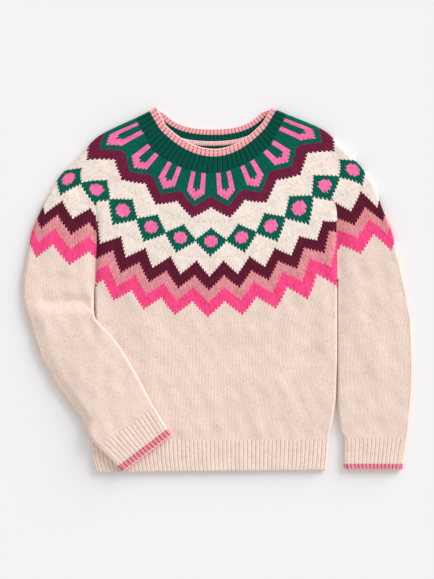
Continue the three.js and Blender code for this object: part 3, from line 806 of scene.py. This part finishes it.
def makeShell(name, strips, material, turn=None):
    # A closed wall between the outer and the inner grid. turn is the number of units once round a tube.
    grid = joined(strips)
    rows, columns = grid["across"].shape
    ids = np.arange(rows * columns).reshape(rows, columns)
    across, down = grid["across"], grid["down"]
    if turn is not None:
        ids = np.concatenate([ids, ids[:, :1]], axis=1)
        across = np.concatenate([across, across[:, :1] + turn], axis=1)
        down = np.concatenate([down, down[:, :1]], axis=1)
    page = np.stack([across, down], axis=2).reshape(-1, 2)
    pageIds = np.arange(len(page)).reshape(ids.shape)
    inward = rows * columns

    def quads(table, behind):
        a, b, c, d = table[:-1, :-1], table[:-1, 1:], table[1:, 1:], table[1:, :-1]
        outside = np.stack([a, b, c, d], axis=2).reshape(-1, 4)
        inside = np.stack([a, d, c, b], axis=2).reshape(-1, 4) + behind
        rims = []
        for edge, forward in ((table[0], False), (table[-1], True)):
            here, there = (edge[:-1], edge[1:]) if forward else (edge[1:], edge[:-1])
            rims.append(np.stack([here, there, there + behind, here + behind], axis=1))
        if turn is None:
            for edge, forward in ((table[:, 0], True), (table[:, -1], False)):
                here, there = (edge[:-1], edge[1:]) if forward else (edge[1:], edge[:-1])
                rims.append(np.stack([here, there, there + behind, here + behind], axis=1))
        return np.concatenate([outside, inside, *rims])

    faces = quads(ids, inward)
    pageFaces = quads(pageIds, 0)
    points = np.concatenate([grid["outer"].reshape(-1, 3), grid["inner"].reshape(-1, 3)])
    corners = points[faces]
    volume = np.einsum("ij,ij->i", corners[:, 0], np.cross(corners[:, 1], corners[:, 2])).sum()
    volume += np.einsum("ij,ij->i", corners[:, 0], np.cross(corners[:, 2], corners[:, 3])).sum()
    if volume < 0:
        faces, pageFaces = faces[:, ::-1], pageFaces[:, ::-1]
    points = (points + np.array([*pageShift, 0.0])) * metre

    mesh = bpy.data.meshes.new(name)
    mesh.vertices.add(len(points))
    mesh.vertices.foreach_set("co", points.astype(np.float32).ravel())
    mesh.loops.add(faces.size)
    mesh.loops.foreach_set("vertex_index", faces.astype(np.int32).ravel())
    mesh.polygons.add(len(faces))
    mesh.polygons.foreach_set("loop_start", np.arange(0, faces.size, 4, dtype=np.int32))
    mesh.polygons.foreach_set("use_smooth", np.ones(len(faces), bool))
    layer = mesh.uv_layers.new(name="stitches")
    layer.data.foreach_set("uv", page[pageFaces].astype(np.float32).ravel())
    mesh.update(calc_edges=True)
    mesh.validate()
    mesh.set_sharp_from_angle(angle=math.radians(cloth["sharpEdge"]))
    mesh.materials.append(material)
    piece = bpy.data.objects.new(name, mesh)
    bpy.context.scene.collection.objects.link(piece)
    print("  made", name, len(faces) * 2, "triangles")
    return piece


def dress(piece, node):
    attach(piece, "root")
    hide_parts(node)


endRows = np.array([0.0, 0.08, 0.3, 0.6, 1.0])   # rows close to an open end, as shares of its rounded edge


def nearEnds(count, atStart, atEnd, edge=1.4, length=30.0):
    # shares of a length, with extra rows close to an open end so that its edge can be rounded
    shares = np.linspace(0, 1, count)
    close = endRows * edge / length
    if atStart:
        shares = np.concatenate([close, shares[shares > close[-1] * 1.2]])
    if atEnd:
        shares = np.concatenate([shares[shares < 1 - close[-1] * 1.2], 1 - close[::-1]])
    return shares


def roundEdge(grid, fromEdge, wall):
    # draws both sides of the wall together over the last half thickness, along a quarter circle
    radius = wall / 2
    inside = np.clip(radius - fromEdge, 0.0, radius)
    draw = (radius - np.sqrt(radius ** 2 - inside ** 2))[..., None] * cloth["edgeDraw"]
    grid["outer"] -= grid["normal"] * draw
    grid["inner"] += grid["normal"] * draw


rib = {"height": 0.25, "groove": -0.38, "pitch": 5.0}


def ribbedOut(part):
    # raises ribs in the outer points of a strip, and not on its underside
    raised = np.clip(part["normal"][..., 2:] * 2 + 1, 0, 1)
    part["outer"] = part["outer"] + part["normal"] * raised * ribRelief(part["across"])[..., None]


def ribRelief(phase):
    # a broad rounded ridge and a narrow groove: the square root of a sine
    return mix(rib["groove"], rib["height"], np.sqrt(np.abs(np.sin(np.pi * phase))))


print("yoke and neckband")


def courseLine(name, at):
    return np.stack([tableAt(courses, name + "X", at), tableAt(courses, name + "Y", at)], axis=-1)


def foldFacing(at, side):
    out = courseLine(side + "Fold", at) - courseLine(side + "Crease", at)
    return out / np.linalg.norm(out, axis=-1, keepdims=True)


backRiseAt = {"neck": 24.0, "shoulder": 13.0}


def backRise(at, far):
    # how much higher the back lies on the page than the front, which fades down the yoke
    shareDown = np.maximum(at - yokeTop, 0) / (underarm - yokeTop)
    shoulder = backRiseAt["shoulder"] * (1 - shareDown)
    near = mix(shoulder, backRiseAt["neck"], (1 - np.minimum(far, 1) ** 2) ** 2)
    return np.where(far > 1, shoulder * (2 - far), near)


def coursePoint(at, reach, back, radius):
    # A parabola from the centre to the crease at reach 1, then straight on to the fold's roll at reach 2.
    at = np.broadcast_to(at, reach.shape)
    left = (reach < 0)[..., None]
    far = np.abs(reach)[..., None]
    mid = courseLine("mid", at)
    crease = np.where(left, courseLine("leftCrease", at), courseLine("rightCrease", at))
    fold = np.where(left, courseLine("leftFold", at), courseLine("rightFold", at))
    out = np.where(left, foldFacing(at, "left"), foldFacing(at, "right"))
    near = mid + (crease - mid) * np.concatenate([far, far ** 2], axis=-1)
    point = np.where(far <= 1, near, crease + (fold - out * radius - crease) * (far - 1))
    if back:
        point = point + np.stack([np.zeros_like(reach), backRise(at, np.abs(reach))], axis=-1)
    return point


fineSteps = 481


def evenReaches(at, count, back, radius, furthest):
    # reaches that stand at even distances along each course
    fine = np.broadcast_to(np.linspace(-furthest, furthest, fineSteps), (len(at), fineSteps))
    points = coursePoint(at[:, None], fine, back, radius)
    steps = np.linalg.norm(np.diff(points, axis=1), axis=2)
    lengths = np.concatenate([np.zeros((len(at), 1)), np.cumsum(steps, axis=1)], axis=1)
    shares = np.linspace(0, 1, count + 1)
    return np.stack([np.interp(shares * run[-1], run, fine[0]) for run in lengths])


def rollCentre(at, side, radius):
    return courseLine(side + "Fold", at) - foldFacing(at, side) * radius


rollTurns = np.linspace(90, -90, 15)[1:-1]
yoke = {
    "rows": 96,
    "bodyReaches": np.concatenate([np.linspace(0.01, 0.965, 96), [0.974, 0.982, 0.989, 0.995, 0.999]]),
    "sleeveReaches": np.concatenate([[1.002, 1.008, 1.016, 1.026, 1.04, 1.055], np.linspace(1.07, 2.0, 54)]),
    "backColumns": 90,
}

# Small gathers along the two rounds of decreases
pucker = {
    "depth": 0.35,
    "rows": 1.1,                 # half the height of a gather
    "unevenness": 0.4,
    "closeness": 0.9,            # radians of a gather's wave in a millimetre
    "wander": 2.2,
    "wanderCloseness": 0.13,
}


def yokeHeight(x, y, reach, creaseX, row):
    onSleeve = np.abs(reach) > 1
    dimples = np.zeros_like(x)
    wander = pucker["wander"] * np.sin(x * pucker["wanderCloseness"])
    wave = np.sin(x * pucker["closeness"] + wander)
    gathers = 1 - pucker["unevenness"] + pucker["unevenness"] * wave
    for decreases in (chart["firstDecreases"], chart["secondDecreases"]):
        dimples += pucker["depth"] * np.exp(-(((row - decreases) / pucker["rows"]) ** 2)) * gathers
    return (flatTop + foldRise(x, y) + handledRise(x, y) - dimples
            - valleyDip(np.abs(x - creaseX), onSleeve, y))


def yokeGrid():
    radius = flatRadius
    at = np.linspace(yokeTop, underarm, yoke["rows"])
    half = np.concatenate([yoke["bodyReaches"], yoke["sleeveReaches"]])
    reach = np.broadcast_to(np.concatenate([-half[::-1], half]), (len(at), 2 * len(half)))
    plan = coursePoint(at[:, None], reach, False, radius)
    x, y = plan[..., 0], plan[..., 1]
    wale, row = np.zeros_like(x), np.zeros_like(x)
    for side, chosen in (("left", reach[0] < 0), ("right", reach[0] > 0)):
        onBody = chosen & (np.abs(reach[0]) <= 1)
        onSleeve = chosen & (np.abs(reach[0]) > 1)
        wale[:, onBody], row[:, onBody] = bodyStitches(x[:, onBody], y[:, onBody], side)
        wale[:, onSleeve], row[:, onSleeve] = sleeveStitches(x[:, onSleeve], y[:, onSleeve], side)
    leftX = tableAt(courses, "leftCreaseX", at)[:, None]
    rightX = tableAt(courses, "rightCreaseX", at)[:, None]
    top = yokeHeight(x, y, reach, np.where(reach < 0, leftX, rightX), row)
    front = upperStrip(plan, top, cloth["wall"], wale, row)
    arc = np.pi * radius / cloth["quarterRound"]
    turnShare = (90 - rollTurns[None, :]) / 180
    right = rollStrip(rollCentre(at, "right", radius), foldFacing(at, "right"), top[:, -1], cloth["wall"],
                      rollTurns, wale[:, -1:] + arc * turnShare,
                      np.repeat(row[:, -1:], len(rollTurns), axis=1))
    backReach = np.broadcast_to(np.linspace(2, -2, yoke["backColumns"]), (len(at), yoke["backColumns"]))
    backPlan = coursePoint(at[:, None], backReach, True, radius)
    backShare = np.linspace(0, 1, yoke["backColumns"])[None, :]
    backWale = mix(wale[:, -1:] + arc, wale[:, :1] + 4 - arc, backShare)
    back = lowerStrip(backPlan, cloth["wall"], backWale, mix(row[:, -1:], row[:, :1], backShare))
    left = rollStrip(rollCentre(at, "left", radius), foldFacing(at, "left"), top[:, 0], cloth["wall"],
                     rollTurns[::-1], wale[:, :1] + 4 - arc * turnShare[:, ::-1],
                     np.repeat(row[:, :1], len(rollTurns), axis=1))
    strips = [front, right, back, left]
    for part in strips:
        part["across"] = part["across"] + 2   # keeps the stitch count above nought all round
    return strips


yokePiece = makeShell("yoke_knitted", yokeGrid(), knit, turn=4)
dress(yokePiece, "yoke")

band = {
    "ribsInFront": 36,
    "perRib": 8,
    "perRibBack": 6,
    "tipLength": 10.0,
    "length": 19.0,
    "handled": 0.4,           # how much of the body's unevenness the band has
    "backTipShare": 0.18,     # how much of its length the tip loses at the middle of the back
}


def bandGrid(fromCourse, toCourse, rows, openEdge):
    wall = cloth["bandWall"]
    radius = wall + cloth["layerGap"] / 2
    courseLength = band["tipLength"] if openEdge else band["length"]
    at = mix(fromCourse, toCourse, nearEnds(rows, openEdge, False, length=courseLength))
    down = (np.interp(at, np.arange(10.0), courses["row"]) - courses["row"][0])[:, None]
    columns = band["ribsInFront"] * band["perRib"]
    reach = evenReaches(at, columns, False, radius, 2)
    plan = coursePoint(at[:, None], reach, False, radius)
    phase = np.broadcast_to(np.linspace(0, band["ribsInFront"], columns + 1), reach.shape)
    level = 2 * radius + band["handled"] * handledRise(plan[..., 0], plan[..., 1])
    front = upperStrip(plan, level, wall, phase, np.broadcast_to(down, reach.shape))
    rollRibs = np.pi * radius / rib["pitch"]
    turnShare = (90 - rollTurns[None, :]) / 180
    flatRow = np.broadcast_to(down, (len(at), len(rollTurns)))
    right = rollStrip(rollCentre(at, "right", radius), foldFacing(at, "right"), level[:, -1], wall, rollTurns,
                      np.broadcast_to(phase[:, -1:] + rollRibs * turnShare, flatRow.shape), flatRow)
    backColumns = band["ribsInFront"] * band["perRibBack"]
    backReach = evenReaches(at, backColumns, True, radius, 2)[:, ::-1]
    fromMiddle = np.clip(np.abs(backReach) / 2, 0, 1)
    towardsTip = (1 - np.abs(at[:, None] - tipBase)) * (1 - fromMiddle ** 2) ** 2
    backPlan = coursePoint(at[:, None] - band["backTipShare"] * towardsTip, backReach, True, radius)
    start = band["ribsInFront"] + math.ceil(rollRibs)
    end = start + band["ribsInFront"]
    backPhase = np.broadcast_to(np.linspace(start, end, backColumns + 1), backReach.shape)
    back = lowerStrip(backPlan, wall, backPhase, np.broadcast_to(down, backReach.shape))
    left = rollStrip(rollCentre(at, "left", radius), foldFacing(at, "left"), level[:, 0], wall,
                     rollTurns[::-1], np.broadcast_to(-rollRibs * turnShare[:, ::-1], flatRow.shape), flatRow)
    turn = end + math.ceil(rollRibs)
    left["across"] = left["across"] + turn
    for part in (front, right, left):
        ribbedOut(part)
    back["inner"] = back["inner"] - back["normal"] * ribRelief(back["across"])[..., None]
    if openEdge:
        fromEdge = ((at - fromCourse) * courseLength)[:, None]
        for part in (front, right, back, left):
            part["outer"], part["inner"] = part["outer"].copy(), part["inner"].copy()
            roundEdge(part, np.broadcast_to(fromEdge, part["across"].shape), wall)
    return [front, right, back, left], turn


bandStrips, bandTurn = bandGrid(tipBase, yokeTop, 9, False)
bandPiece = makeShell("neckband_knitted", bandStrips, greenRib, turn=bandTurn)
dress(bandPiece, "neckband")
tipStrips, tipTurn = bandGrid(0, tipBase, 6, True)
tipPiece = makeShell("neck_tip_knitted", tipStrips, neckTip, turn=tipTurn)
dress(tipPiece, "neck_tip")

lip = {
    "from": 0.37, "to": 0.68,      # shares of the band's width
    "reach": 1.15,
    "base": 2.9,                   # height of its underside
    "edge": 0.3,
    "height": 1.0,
    "crown": 0.8,                  # how much lower it is along its edges
    "hump": 0.3,
    "columns": 320,
    "perHump": 6,
    "rows": 7,
}


def facingGrid():
    # a low half round along the inside of the back, with a small hump for each stitch
    radius = cloth["bandWall"] + cloth["layerGap"] / 2
    shares = np.linspace(0, 1, lip["rows"])
    at = mix(tipBase, yokeTop, mix(lip["from"], lip["to"], shares))
    reach = evenReaches(at, lip["columns"], True, radius, lip["reach"])
    plan = coursePoint(at[:, None], reach, True, radius)
    phase = np.broadcast_to(np.linspace(0, lip["columns"] / lip["perHump"], lip["columns"] + 1), reach.shape)
    crown = np.sqrt(np.clip(1 - (2 * shares[:, None] - 1) ** 2, 0, 1)) * lip["crown"] + 1 - lip["crown"]
    height = (lip["height"] + lip["hump"] * np.abs(np.sin(np.pi * phase))) * crown
    outer = pointsAt(plan, lip["base"] + lip["edge"] + height)
    return [strip(outer, pointsAt(plan, lip["base"]), facing(plan, 1.0), phase,
                  np.broadcast_to(shares[:, None] * 2, reach.shape))]


facingPiece = makeShell("neck_facing_knitted", facingGrid(), shellEdge)
dress(facingPiece, "neck_facing")

print("body and hem")


def borderY(x, back):
    # height of the yoke's lower edge above a place across the body
    midX, midY = courses["midX"][underarm], courses["midY"][underarm]
    left = x < midX
    creaseX = np.where(left, courses["leftCreaseX"][underarm], courses["rightCreaseX"][underarm])
    creaseY = np.where(left, courses["leftCreaseY"][underarm], courses["rightCreaseY"][underarm])
    far = np.minimum((x - midX) / (creaseX - midX), 1)
    height = mix(midY, creaseY, far ** 2)
    return height + backRise(np.full_like(x, underarm), far) if back else height


def hemLine(corners, x):
    share = (x - hemCorners["left"]) / (hemCorners["right"] - hemCorners["left"])
    return mix(corners["left"], corners["right"], share)


def bodyPlan(columns, shares, upperLine, lowerLine):
    across = np.linspace(0, 1, columns + 1)[None, :]
    nearX = mix(bodySides["left"][0], bodySides["right"][0], across) + flatRadius * (1 - 2 * across)
    y = mix(upperLine(nearX), lowerLine(nearX), shares[:, None])
    left = bodySide("left", y) + flatRadius
    right = bodySide("right", y) - flatRadius
    return np.stack([mix(left, right, across), y], axis=2)


halfTurns = {True: np.linspace(90, 0, 9)[1:], False: np.linspace(-90, 0, 9)[1:]}


def bodyStrips(plan, top, front, across, down, sideSpan):
    # one flat layer with half a roll down each side. sideSpan is the across measure of a half roll.
    turns = halfTurns[front]
    span = np.broadcast_to((90 - np.abs(turns))[None, :] / 90 * sideSpan, (len(plan), len(turns)))
    out = np.array([1.0, 0.0])
    rows = np.repeat(down[:, -1:], len(turns), axis=1)
    right = rollStrip(plan[:, -1], np.broadcast_to(out, (len(plan), 2)), top[:, -1], cloth["wall"], turns,
                      across[:, -1:] + span, rows)
    rows = np.repeat(down[:, :1], len(turns), axis=1)
    left = rollStrip(plan[:, 0], np.broadcast_to(-out, (len(plan), 2)), top[:, 0], cloth["wall"], turns[::-1],
                     across[:, :1] - span[:, ::-1], rows)
    flat = (upperStrip(plan, top, cloth["wall"], across, down) if front
            else lowerStrip(plan, cloth["wall"], across, down))
    return [left, flat, right]


body = {"columns": 210, "rows": 130, "backColumns": 60, "backRows": 40}


def bodyGrid(front):
    columns = body["columns"] if front else body["backColumns"]
    shares = np.linspace(0, 1, body["rows"] if front else body["backRows"])
    plan = bodyPlan(columns, shares, lambda x: borderY(x, not front), lambda x: hemLine(hemTop, x))
    x, y = plan[..., 0], plan[..., 1]
    wale, row = np.zeros_like(x), np.zeros_like(x)
    middleX = courses["midX"][underarm]
    for side, chosen in (("left", x < middleX), ("right", x >= middleX)):
        sideWale, sideRow = bodyStitches(x, y, side)
        wale, row = np.where(chosen, sideWale, wale), np.where(chosen, sideRow, row)
    top = flatTop + foldRise(x, y) + handledRise(x, y)
    arc = np.pi * flatRadius / 2 / cloth["quarterRound"]
    return bodyStrips(plan, top, front, wale + 2, row, arc)


frontPiece = makeShell("body_front_knitted", bodyGrid(True), knit)
dress(frontPiece, "body_front")
backPiece = makeShell("body_back_knitted", bodyGrid(False), knit)
dress(backPiece, "body_back")

hem = {"ribs": 56, "perRib": 8, "backColumns": 112, "rows": 12, "length": 37.0, "handled": 0.6}


def hemGrid(front):
    columns = hem["ribs"] * hem["perRib"] if front else hem["backColumns"]
    shares = nearEnds(hem["rows"], False, True, length=hem["length"])
    plan = bodyPlan(columns, shares, lambda x: hemLine(hemTop, x), lambda x: hemLine(hemEnd, x))
    phase = np.broadcast_to(np.linspace(0, hem["ribs"], columns + 1), plan.shape[:2])
    down = np.broadcast_to(shares[:, None] * hem["length"] / cloth["rowHeight"], phase.shape)
    top = flatTop + hem["handled"] * handledRise(plan[..., 0], plan[..., 1])
    strips = bodyStrips(plan, top, front, phase, down, np.pi * flatRadius / 2 / rib["pitch"])
    for part in strips:
        if front:
            part["outer"] = part["outer"] + part["normal"] * ribRelief(part["across"])[..., None]
        fromEdge = np.broadcast_to((1 - shares[:, None]) * hem["length"], part["across"].shape)
        roundEdge(part, fromEdge, cloth["wall"])
    return strips


hemFront = makeShell("hem_front_ribbed", hemGrid(True), oatRib)
dress(hemFront, "hem_rib_front")
hemBack = makeShell("hem_back_ribbed", hemGrid(False), oatRib)
dress(hemBack, "hem_rib_back")

print("sleeves and cuffs")

sleeve = {"stepsPerSection": 12, "topColumns": 64, "bottomColumns": 28}
cuff = {
    "ribs": 14,
    "perRib": 8,
    "bottomColumns": 42,
    "length": 32.0,
    "rows": 11,
    "handled": 0.5,
    "tipLength": 9.0,
    "tipRows": 6,
    "tipFrom": 11.0,       # rows of stitches from the sleeve to the tip
}


def aboveLeast(height, least):
    # a smooth maximum: a hyperbola between the least height and the height itself
    above = height - least
    return least + (above + np.sqrt(above ** 2 + cloth["thinSoftness"] ** 2)) / 2


def tubePlan(table, at, columns):
    # a straight section from the outer to the inner edge, less a roll's radius at each end
    outer = np.stack([tableAt(table, "outerX", at), tableAt(table, "outerY", at)], axis=1)
    inner = np.stack([tableAt(table, "innerX", at), tableAt(table, "innerY", at)], axis=1)
    along = inner - outer
    along /= np.linalg.norm(along, axis=1, keepdims=True)
    start, end = outer + along * flatRadius, inner - along * flatRadius
    share = np.linspace(0, 1, columns + 1)[None, :, None]
    return mix(start[:, None, :], end[:, None, :], share), along


def tubeStrips(table, at, topColumns, bottomColumns, topRise, across, down, perMillimetre, lifted,
               ribbed=False):
    # A tube from the upper layer round by the inner roll, the lower layer and the outer roll.
    # perMillimetre is how far across counts along a roll.
    plan, along = tubePlan(table, at, topColumns)
    x, y = plan[..., 0], plan[..., 1]
    wall = cloth["wall"]
    top = aboveLeast(flatTop + topRise(x, y), wall + cloth["leastGap"] + cloth["thinnest"])
    upper = upperStrip(plan, top, wall, across, down)
    arc = np.pi * flatRadius * perMillimetre
    span = np.broadcast_to((90 - rollTurns[None, :]) / 180 * arc, (len(at), len(rollTurns)))
    innerRoll = rollStrip(plan[:, -1], along, top[:, -1], wall, rollTurns, across[:, -1:] + span,
                          np.repeat(down[:, -1:], len(rollTurns), axis=1))
    lowerPlan = tubePlan(table, at, bottomColumns)[0][:, ::-1]
    share = np.linspace(0, 1, bottomColumns + 1)[None, :]
    width = across[:, -1:] - across[:, :1]
    lowerAcross = across[:, -1:] + arc + width * share
    lower = lowerStrip(lowerPlan, wall, lowerAcross, mix(down[:, -1:], down[:, :1], share))
    outerRoll = rollStrip(plan[:, 0], -along, top[:, 0], wall, rollTurns[::-1],
                          across[:, :1] + 2 * width + 2 * arc - span[:, ::-1],
                          np.repeat(down[:, :1], len(rollTurns), axis=1))
    strips = [upper, innerRoll, lower, outerRoll]
    for part in strips:
        if ribbed:
            ribbedOut(part)
        if lifted:
            upper = (part["normal"][..., 2] + 1) / 2
            for side in ("outer", "inner"):
                part[side] = part[side].copy()
                part[side][..., 2] += sleeveLift(part[side][..., 0], part[side][..., 1], upper)
    return strips, float((2 * width + 2 * arc).mean())


def midLength(table, at):
    # distance down the middle of a sleeve
    middle = np.stack([(tableAt(table, "outerX", at) + tableAt(table, "innerX", at)) / 2,
                       (tableAt(table, "outerY", at) + tableAt(table, "innerY", at)) / 2], axis=1)
    steps = np.linalg.norm(np.diff(middle, axis=0), axis=1)
    return np.concatenate([[0.0], np.cumsum(steps)])


tuckRun = {"bent": 34.0, "straight": 175.0}   # how far the underarm valley runs on down a sleeve


def sleeveGrid(table, side, cuffRow, lifted):
    at = np.linspace(0, cuffRow, cuffRow * sleeve["stepsPerSection"] + 1)
    plan, along = tubePlan(table, at, sleeve["topColumns"])
    x, y = plan[..., 0], plan[..., 1]
    sign = -1.0 if side == "left" else 1.0
    borderWale, borderRow = sleeveStitches(x[:1], y[:1], side)
    width = np.linalg.norm(plan[:, -1] - plan[:, 0], axis=1)
    perMillimetre = abs(borderWale[0, -1] - borderWale[0, 0]) / width[0]
    share = np.linspace(0, 1, sleeve["topColumns"] + 1)[None, :]
    across = borderWale[:, :1] + 2 - sign * share * width[:, None] * perMillimetre
    length = midLength(table, at)[:, None]
    down = borderRow + length / cloth["rowHeight"]
    run = tuckRun["bent"] if lifted else tuckRun["straight"]
    creaseX = courses[side + "CreaseX"][underarm]

    def rise(px, py):
        fromCrease = (px - creaseX) / valley["sleeveWidth"]
        tucked = valley["depth"] * np.exp(-(fromCrease ** 2)) * (1 - smooth(length / run))
        return foldRise(px, py) + handledRise(px, py) + (elbowRise(px, py) if lifted else 0.0) - tucked

    return tubeStrips(table, at, sleeve["topColumns"], sleeve["bottomColumns"], rise, across,
                      np.broadcast_to(down, across.shape), -sign * perMillimetre, lifted)


def cuffGrid(table, row, rows, length, openEnd, lifted, startRow):
    shares = nearEnds(rows, False, openEnd, length=length)
    at = row + shares
    columns = cuff["ribs"] * cuff["perRib"]
    phase = np.broadcast_to(np.linspace(0, cuff["ribs"], columns + 1), (len(at), columns + 1))
    down = np.broadcast_to(startRow + shares[:, None] * length / cloth["rowHeight"], phase.shape)
    strips, turn = tubeStrips(table, at, columns, cuff["bottomColumns"],
                              lambda x, y: cuff["handled"] * handledRise(x, y),
                              phase, down, 1 / rib["pitch"], lifted, ribbed=True)
    if openEnd:
        fromEdge = (1 - shares[:, None]) * length
        for part in strips:
            roundEdge(part, np.broadcast_to(fromEdge, part["across"].shape), cloth["wall"])
    return strips, turn


sleeves = [
    {"name": "bent", "side": "left", "table": bentSleeve, "cuffRow": 12, "lifted": True,
     "flat": (0.165, 0.215), "area": 0.0320, "restsOn": ["floor", "body_front_knitted"]},
    {"name": "straight", "side": "right", "table": straightSleeve, "cuffRow": 7, "lifted": False,
     "flat": (0.178, 0.210), "area": 0.0350, "restsOn": ["floor"]},
]
for one in sleeves:
    strips, turn = sleeveGrid(one["table"], one["side"], one["cuffRow"], one["lifted"])
    piece = makeShell(f"sleeve_{one['name']}_knitted", strips, knit, turn=turn)
    dress(piece, f"sleeve_{one['name']}")
    strips, turn = cuffGrid(one["table"], one["cuffRow"], cuff["rows"], cuff["length"], False,
                            one["lifted"], 0.0)
    piece = makeShell(f"cuff_{one['name']}_ribbed", strips, oatRib, turn=turn)
    dress(piece, f"cuff_{one['name']}")
    strips, turn = cuffGrid(one["table"], one["cuffRow"] + 1, cuff["tipRows"], cuff["tipLength"], True,
                            one["lifted"], cuff["tipFrom"])
    piece = makeShell(f"cuff_tip_{one['name']}_ribbed", strips, cuffTip, turn=turn)
    dress(piece, f"cuff_tip_{one['name']}")

bpy.context.view_layer.update()
